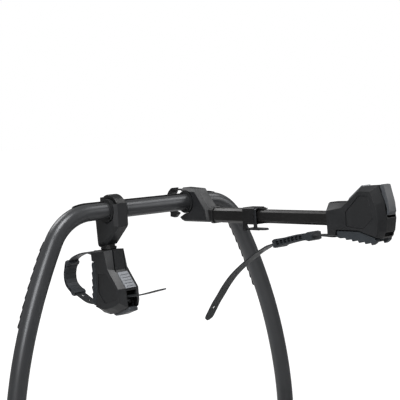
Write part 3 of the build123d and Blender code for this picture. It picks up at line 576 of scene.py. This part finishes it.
class CARRIER_OT_hoop(bpy.types.Operator):
    """Makes the hoop's drawn tube, its long facets running softly into one another"""

    bl_idname = "carrier.hoop"
    bl_label = "Hoop tube"

    def execute(self, context):
        mesh = bmesh.new()
        mesh.from_mesh(frame["nodes"]["hoop_tube"].data)
        bmesh.ops.remove_doubles(mesh, verts=mesh.verts, dist=WELD)
        keep_piece(
            "hoop_drawn_tube", mesh, "hoop", "powder_coat", ["hoop_tube"], HOOP_SMOOTH_ANGLE, False,
        )
        return {"FINISHED"}


# How the edges of the straps and sleeves are rounded: the radius in mm, its faces and from which angle
STRAP_EDGE = (0.5, 2, 50)
SLEEVE_EDGE = (0.6, 2, 40)


class CARRIER_OT_straps(bpy.types.Operator):
    """Makes the two ratchet straps with their holes and rounded ends"""

    bl_idname = "carrier.straps"
    bl_label = "Straps"

    def execute(self, context):
        sizes = context.scene.carrier_sizes
        for arm, holes in STRAP_HOLES.items():
            line = BentLine(*ARMS[arm], CROSSBAR, STRAP_LINES[arm])
            spots = [share * line.length for share in holes]
            mesh = straight_strap(line.length, sizes.strap_width, sizes.strap_thick, spots, sizes.hole)
            line.bend(mesh)
            round_sharp(mesh, *STRAP_EDGE)
            keep_piece(arm + "_ratchet_strap", mesh, body_of(arm + "_strap"), "strap", [arm + "_strap"])
        return {"FINISHED"}


class CARRIER_OT_sleeves(bpy.types.Operator):
    """Makes the slotted rubber sleeves on the straps"""

    bl_idname = "carrier.sleeves"
    bl_label = "Sleeves"

    def execute(self, context):
        width = context.scene.carrier_sizes.sleeve_width
        for arm, (thick, count, start, stop, lump) in SLEEVES.items():
            line = BentLine(*ARMS[arm], CROSSBAR, SLEEVE_LINES[arm])
            mesh = straight_sleeve(line.length, width, thick * MM, count, start, stop, lump)
            line.bend(mesh)
            round_sharp(mesh, *SLEEVE_EDGE)
            node = arm + "_strap_sleeve"
            keep_piece(arm + "_slotted_sleeve", mesh, body_of(node), "sleeve", [node])
        return {"FINISHED"}


# From here on a block is given by two corners about its place and the radius of its edges, in mm.
# Half the width of a wheel tray, and the wheel straps' place across the carrier
TRAY_HALF = 34
WHEEL_STRAP_X = 568
# A wheel strap's width and thickness
WHEEL_STRAP = (24, 2.8)
# Its arc over the tray: the height of the arc's middle, its radius, its ends in degrees, and its spans
WHEEL_ARC = (64.7, 39.3, -22, 202)
ARC_SPANS = 16
# Its ribs: how many, from where to where in degrees, and one rib about the arc's middle
LADDER = (27, -18, 198)
LADDER_RIB = ((-8, -0.9, 40.4), (8, 0.9, 41.6), 0.3)
# The buckle behind the tray and its lever, and the ribs across the lever: the lowest, their number and step
BUCKLE = ((-16, 34, 40), (16, 47, 66), 2.6)
BUCKLE_LEVER = ((-13, 46, 44), (13, 52, 92), 2.4)
LEVER_RIB = ((-9, 51.4, 72), (9, 53, 74.2), 0.6)
LEVER_RIBS = (4, 5)


def tray_middles(word):
    """How far behind the tow ball the middles of a wing's two trays lie, in mm."""
    low, high = box_mm("wheel_trays_" + word)
    return low.y + TRAY_HALF, high.y - TRAY_HALF


def wheel_band(x, middle):
    """A ribbed band over a wheel tray."""
    height, radius, start, end = WHEEL_ARC
    turns = [math.radians(start + (end - start) / ARC_SPANS * n) for n in range(ARC_SPANS + 1)]
    arc = [(middle - radius * math.cos(turn), height + radius * math.sin(turn)) for turn in turns]
    line = BentLine(x, 0, (0, 0), arc)
    width, thick = WHEEL_STRAP
    band = straight_strap(line.length, width * MM, thick * MM, [], 0, False)
    line.bend(band)
    count, start, end = LADDER
    for n in range(count):
        turn = math.radians(start + (end - start) / (count - 1) * n)
        rib = bmesh.new()
        add_block(rib, LADDER_RIB)
        place = Matrix.Translation((x * MM, middle * MM, height * MM))
        place = place @ Matrix.Rotation(turn - math.pi / 2, 4, "X")
        bmesh.ops.transform(rib, matrix=place, verts=rib.verts)
        pour(rib, band)
    return band


class CARRIER_OT_wheel_straps(bpy.types.Operator):
    """Makes the ribbed wheel straps with their buckles and ratchet levers"""

    bl_idname = "carrier.wheel_straps"
    bl_label = "Wheel straps"

    def execute(self, context):
        count, step = LEVER_RIBS
        for side, word in SIDES:
            bands = bmesh.new()
            buckles = bmesh.new()
            x = side * WHEEL_STRAP_X
            for middle in tray_middles(word):
                pour(wheel_band(x, middle), bands)
                add_block(buckles, BUCKLE, (x, middle, 0))
                add_block(buckles, BUCKLE_LEVER, (x, middle, 0))
                for n in range(count):
                    add_block(buckles, LEVER_RIB, (x, middle, step * n))
            wing = "wing_" + word
            keep_piece("wheel_bands_" + word, bands, wing, "strap", ["wheel_straps_" + word])
            keep_piece("wheel_buckles_" + word, buckles, wing, "plain_black")
        return {"FINISHED"}


# The grip bars across a tray: one bar, then their number, first place and step, and their gap for the strap
GRIP_BAR = ((-2.2, -27, 35.8), (2.2, 27, 37.4), 0.6)
GRIP_ROW = (15, 474, 12)
GRIP_GAP = 9


class CARRIER_OT_tray_grips(bpy.types.Operator):
    """Makes the rubber bars across the wheel trays, with a gap for the strap"""

    bl_idname = "carrier.tray_grips"
    bl_label = "Tray grips"

    def execute(self, context):
        count, first, step = GRIP_ROW
        row = [first + step * n for n in range(count)]
        for side, word in SIDES:
            grips = bmesh.new()
            for middle in tray_middles(word):
                for x in row:
                    if abs(x - WHEEL_STRAP_X) > GRIP_GAP:
                        add_block(grips, GRIP_BAR, (side * x, middle, 0))
            keep_piece("tray_grips_" + word, grips, "wing_" + word, "rubber")
        return {"FINISHED"}


# The ribs of a lens: their number, where their row starts and ends across the carrier, and one rib about
# the middle of the lens's rear face
LENS_ROW = (20, 479, 646.7)
LENS_RIB = ((-2.6, -0.3, -22.5), (2.6, 1.2, 22.5), 0.6)


class CARRIER_OT_lens_ribs(bpy.types.Operator):
    """Makes the upright ribs of the lamp lenses"""

    bl_idname = "carrier.lens_ribs"
    bl_label = "Lens ribs"

    def execute(self, context):
        count, start, end = LENS_ROW
        for side, word in SIDES:
            lens = bmesh.new()
            low, high = box_mm("lamp_lens_" + word)
            for n in range(count):
                x = start + (end - start) * (n + 0.5) / count
                add_block(lens, LENS_RIB, (side * x, high.y, (low.z + high.z) / 2))
            keep_piece("lens_ribs_" + word, lens, "wing_" + word, "lens")
        return {"FINISHED"}


# The caps of the cross beams: one cap, then their places across the carrier and behind the tow ball
BEAM_CAP = ((-2.7, -20.5, -19.5), (2.7, 20.5, 9.5), 0.9)
BEAM_CAP_X = 406.7
BEAM_PLACES = (129, 441)


class CARRIER_OT_beam_caps(bpy.types.Operator):
    """Makes the caps on the ends of the frame's cross beams"""

    bl_idname = "carrier.beam_caps"
    bl_label = "Beam caps"

    def execute(self, context):
        caps = bmesh.new()
        for side, _ in SIDES:
            for y in BEAM_PLACES:
                add_block(caps, BEAM_CAP, (side * BEAM_CAP_X, y, 0))
        keep_piece("beam_caps", caps, "platform", "plain_black")
        return {"FINISHED"}


# The bracket screws in mm: a leg's place across the carrier, a screw's place beside it, and its height
SCREW_PLACE = (353.5, 21.8, 21.4)
# A screw's head: its radius at the foot and at the top and its height
SCREW_HEAD = (4.2, 3.4, 2.8)
# The socket in the head: the wall around it, the slope of its side and its depth
SCREW_SOCKET = (1.5, 0.15, 1.6)


class CARRIER_OT_bracket_screws(bpy.types.Operator):
    """Makes the socket head screws on both sides of each hoop bracket"""

    bl_idname = "carrier.bracket_screws"
    bl_label = "Bracket screws"

    def execute(self, context):
        screws = bmesh.new()
        leg, aside, z = SCREW_PLACE
        foot, top, height = (size * MM for size in SCREW_HEAD)
        wall, slope, depth = (size * MM for size in SCREW_SOCKET)
        low, high = box_mm("hoop_brackets")
        y = (low.y + high.y) / 2
        for x in (-leg - aside, -leg + aside, leg - aside, leg + aside):
            head = bmesh.ops.create_cone(
                screws, cap_ends=True, segments=24, radius1=foot, radius2=top, depth=height,
            )["verts"]
            bmesh.ops.translate(screws, verts=head, vec=(x * MM, y * MM, z * MM))
            faces = (face for vert in head for face in vert.link_faces)
            crown = max(faces, key=lambda f: f.calc_center_median().z)
            bmesh.ops.inset_individual(screws, faces=[crown], thickness=wall, depth=0.0)
            bmesh.ops.inset_individual(screws, faces=[crown], thickness=slope, depth=-depth)
        keep_piece("bracket_screws", screws, "platform", "steel")
        return {"FINISHED"}


# The lamps: name, place, aim, size in metres and power in watts
LAMPS = (
    ("key_lamp", (0.9, 0.7, 2.9), (0, 0.1, 0.5), 1.3, 54.0),
    ("left_lamp", (-1.9, 0.55, 2.7), (0, 0.1, 0.6), 1.4, 22.0),
    ("side_lamp", (-2.2, 2.0, 1.5), (0, 0.1, 0.5), 1.2, 15.0),
    ("back_lamp", (0.2, -2.6, 2.4), (0, 0.1, 0.6), 1.4, 26.0),
    ("right_lamp", (1.35, 0.55, 1.15), (0.38, 0.07, 0.4), 0.8, 13.0),
)
# Half the floor's width in metres, and how much of its glow and of the world's shows in gloss
FLOOR_HALF = 14.0
FLOOR_IN_GLOSS = 0.12
WORLD_IN_GLOSS = 0.1
# The world's level for all light but that seen straight, where it is white
WORLD_LEVEL = 0.13
# The floor's glow near the carrier, where the lamps light it too, and far away, in metres and strength
GLOW_NEAR = (0.6, 0.4)
GLOW_FAR = (4.0, 0.98)


def seen_share(tree, path, shown, in_gloss):
    """How much of a plain white surface a ray sees: all when seen straight, a share in gloss."""
    gloss = put(
        tree, "ShaderNodeMath", {"operation": "MULTIPLY"}, {1: in_gloss},
        {0: path.outputs["Is Glossy Ray"]},
    )
    return put(tree, "ShaderNodeMath", {"operation": "MAXIMUM"}, links={0: shown, 1: gloss.outputs[0]})


def floor_material(colour):
    """Matt white paper, which glows for the camera so that the far floor is as white as the sky."""
    paper = bpy.data.materials.new("matt_white_floor")
    paper.use_nodes = True
    tree = paper.node_tree
    tree.nodes.clear()
    path = put(tree, "ShaderNodeLightPath")
    seen = seen_share(tree, path, path.outputs["Is Camera Ray"], FLOOR_IN_GLOSS)
    matt = put(tree, "ShaderNodeBsdfDiffuse", inputs={"Color": colour})
    place = put(tree, "ShaderNodeTexCoord")
    away = put(
        tree, "ShaderNodeVectorMath", {"operation": "LENGTH"}, links={0: place.outputs["Object"]},
    )
    level = put(
        tree, "ShaderNodeMapRange",
        inputs={
            "From Min": GLOW_NEAR[0], "From Max": GLOW_FAR[0],
            "To Min": GLOW_NEAR[1], "To Max": GLOW_FAR[1],
        },
        links={"Value": away.outputs["Value"]},
    )
    strength = put(
        tree, "ShaderNodeMath", {"operation": "MULTIPLY"}, links={0: seen.outputs[0], 1: level.outputs[0]},
    )
    glow = put(
        tree, "ShaderNodeEmission", inputs={"Color": (1, 1, 1, 1)}, links={"Strength": strength.outputs[0]},
    )
    both = put(tree, "ShaderNodeAddShader", links={0: matt.outputs[0], 1: glow.outputs[0]})
    put(tree, "ShaderNodeOutputMaterial", links={"Surface": both.outputs[0]})
    return paper


def studio_world():
    """A world that is white where it is seen and dim for all other light."""
    world = bpy.data.worlds.new("studio_world")
    world.use_nodes = True
    tree = world.node_tree
    tree.nodes.clear()
    path = put(tree, "ShaderNodeLightPath")
    shown = put(
        tree, "ShaderNodeMath", {"operation": "MAXIMUM"},
        links={0: path.outputs["Is Camera Ray"], 1: path.outputs["Is Transmission Ray"]},
    )
    seen = seen_share(tree, path, shown.outputs[0], WORLD_IN_GLOSS)
    level = put(
        tree, "ShaderNodeMapRange", inputs={"To Min": WORLD_LEVEL, "To Max": 1.0},
        links={"Value": seen.outputs[0]},
    )
    sky = put(
        tree, "ShaderNodeBackground", inputs={"Color": (1, 1, 1, 1)}, links={"Strength": level.outputs[0]},
    )
    put(tree, "ShaderNodeOutputWorld", links={"Surface": sky.outputs[0]})
    return world


class CARRIER_OT_studio(bpy.types.Operator):
    """Makes the floor, the lamps, the world and the camera"""

    bl_idname = "carrier.studio"
    bl_label = "Studio"

    def execute(self, context):
        scene = context.scene
        mesh = bmesh.new()
        bmesh.ops.create_grid(mesh, x_segments=1, y_segments=1, size=FLOOR_HALF)
        bmesh.ops.translate(mesh, verts=mesh.verts, vec=(0, 0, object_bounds()[0].z - FLOOR_DROP))
        data = bpy.data.meshes.new("floor")
        mesh.to_mesh(data)
        mesh.free()
        data.materials.append(floor_material(list(scene.carrier_colours.floor) + [1.0]))
        floor = bpy.data.objects.new("floor", data)
        scene.collection.objects.link(floor)
        floor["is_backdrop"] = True
        for name, place, aim, size, power in LAMPS:
            lamp = bpy.data.lights.new(name, "AREA")
            lamp.shape = "DISK"
            lamp.size = size
            lamp.energy = power
            holder = bpy.data.objects.new(name, lamp)
            scene.collection.objects.link(holder)
            holder.location = place
            holder.rotation_euler = (Vector(aim) - Vector(place)).to_track_quat("-Z", "Y").to_euler()
        scene.world = studio_world()
        lens = bpy.data.cameras.new("camera")
        lens.lens = CAMERA_LENS
        lens.sensor_width = CAMERA_SENSOR
        lens.clip_end = CAMERA_REACH
        camera = bpy.data.objects.new("camera", lens)
        scene.collection.objects.link(camera)
        camera.location = CAMERA_PLACE
        camera.rotation_euler = Vector(CAMERA_LOOK).to_track_quat("-Z", "Y").to_euler()
        scene.camera = camera
        scene.view_settings.view_transform = "Standard"
        return {"FINISHED"}


class CARRIER_PT_panel(bpy.types.Panel):
    """Lists the carrier's operators"""

    bl_label = "Bike carrier"
    bl_idname = "CARRIER_PT_panel"
    bl_space_type = "VIEW_3D"
    bl_region_type = "UI"
    bl_category = "Bike carrier"

    def draw(self, context):
        for step in STEPS:
            self.layout.operator(step.bl_idname)
        for size in ("strap_width", "strap_thick", "hole", "sleeve_width", "edge"):
            self.layout.prop(context.scene.carrier_sizes, size)
        self.layout.prop(context.scene.carrier_colours, "floor")


STEPS = (
    CARRIER_OT_finishes, CARRIER_OT_moulded_edges, CARRIER_OT_hoop, CARRIER_OT_straps, CARRIER_OT_sleeves,
    CARRIER_OT_wheel_straps, CARRIER_OT_tray_grips, CARRIER_OT_lens_ribs, CARRIER_OT_beam_caps,
    CARRIER_OT_bracket_screws, CARRIER_OT_studio,
)
GROUPS = (CarrierSizes, CarrierColours)


def register():
    for kind in GROUPS + STEPS + (CARRIER_PT_panel,):
        bpy.utils.register_class(kind)
    bpy.types.Scene.carrier_sizes = PointerProperty(type=CarrierSizes)
    bpy.types.Scene.carrier_colours = PointerProperty(type=CarrierColours)


def unregister():
    del bpy.types.Scene.carrier_colours
    del bpy.types.Scene.carrier_sizes
    for kind in reversed(GROUPS + STEPS + (CARRIER_PT_panel,)):
        bpy.utils.unregister_class(kind)


def main():
    register()
    for step in STEPS:
        group, action = step.bl_idname.split(".")
        getattr(getattr(bpy.ops, group), action)()


if __name__ == "__main__":
    main()
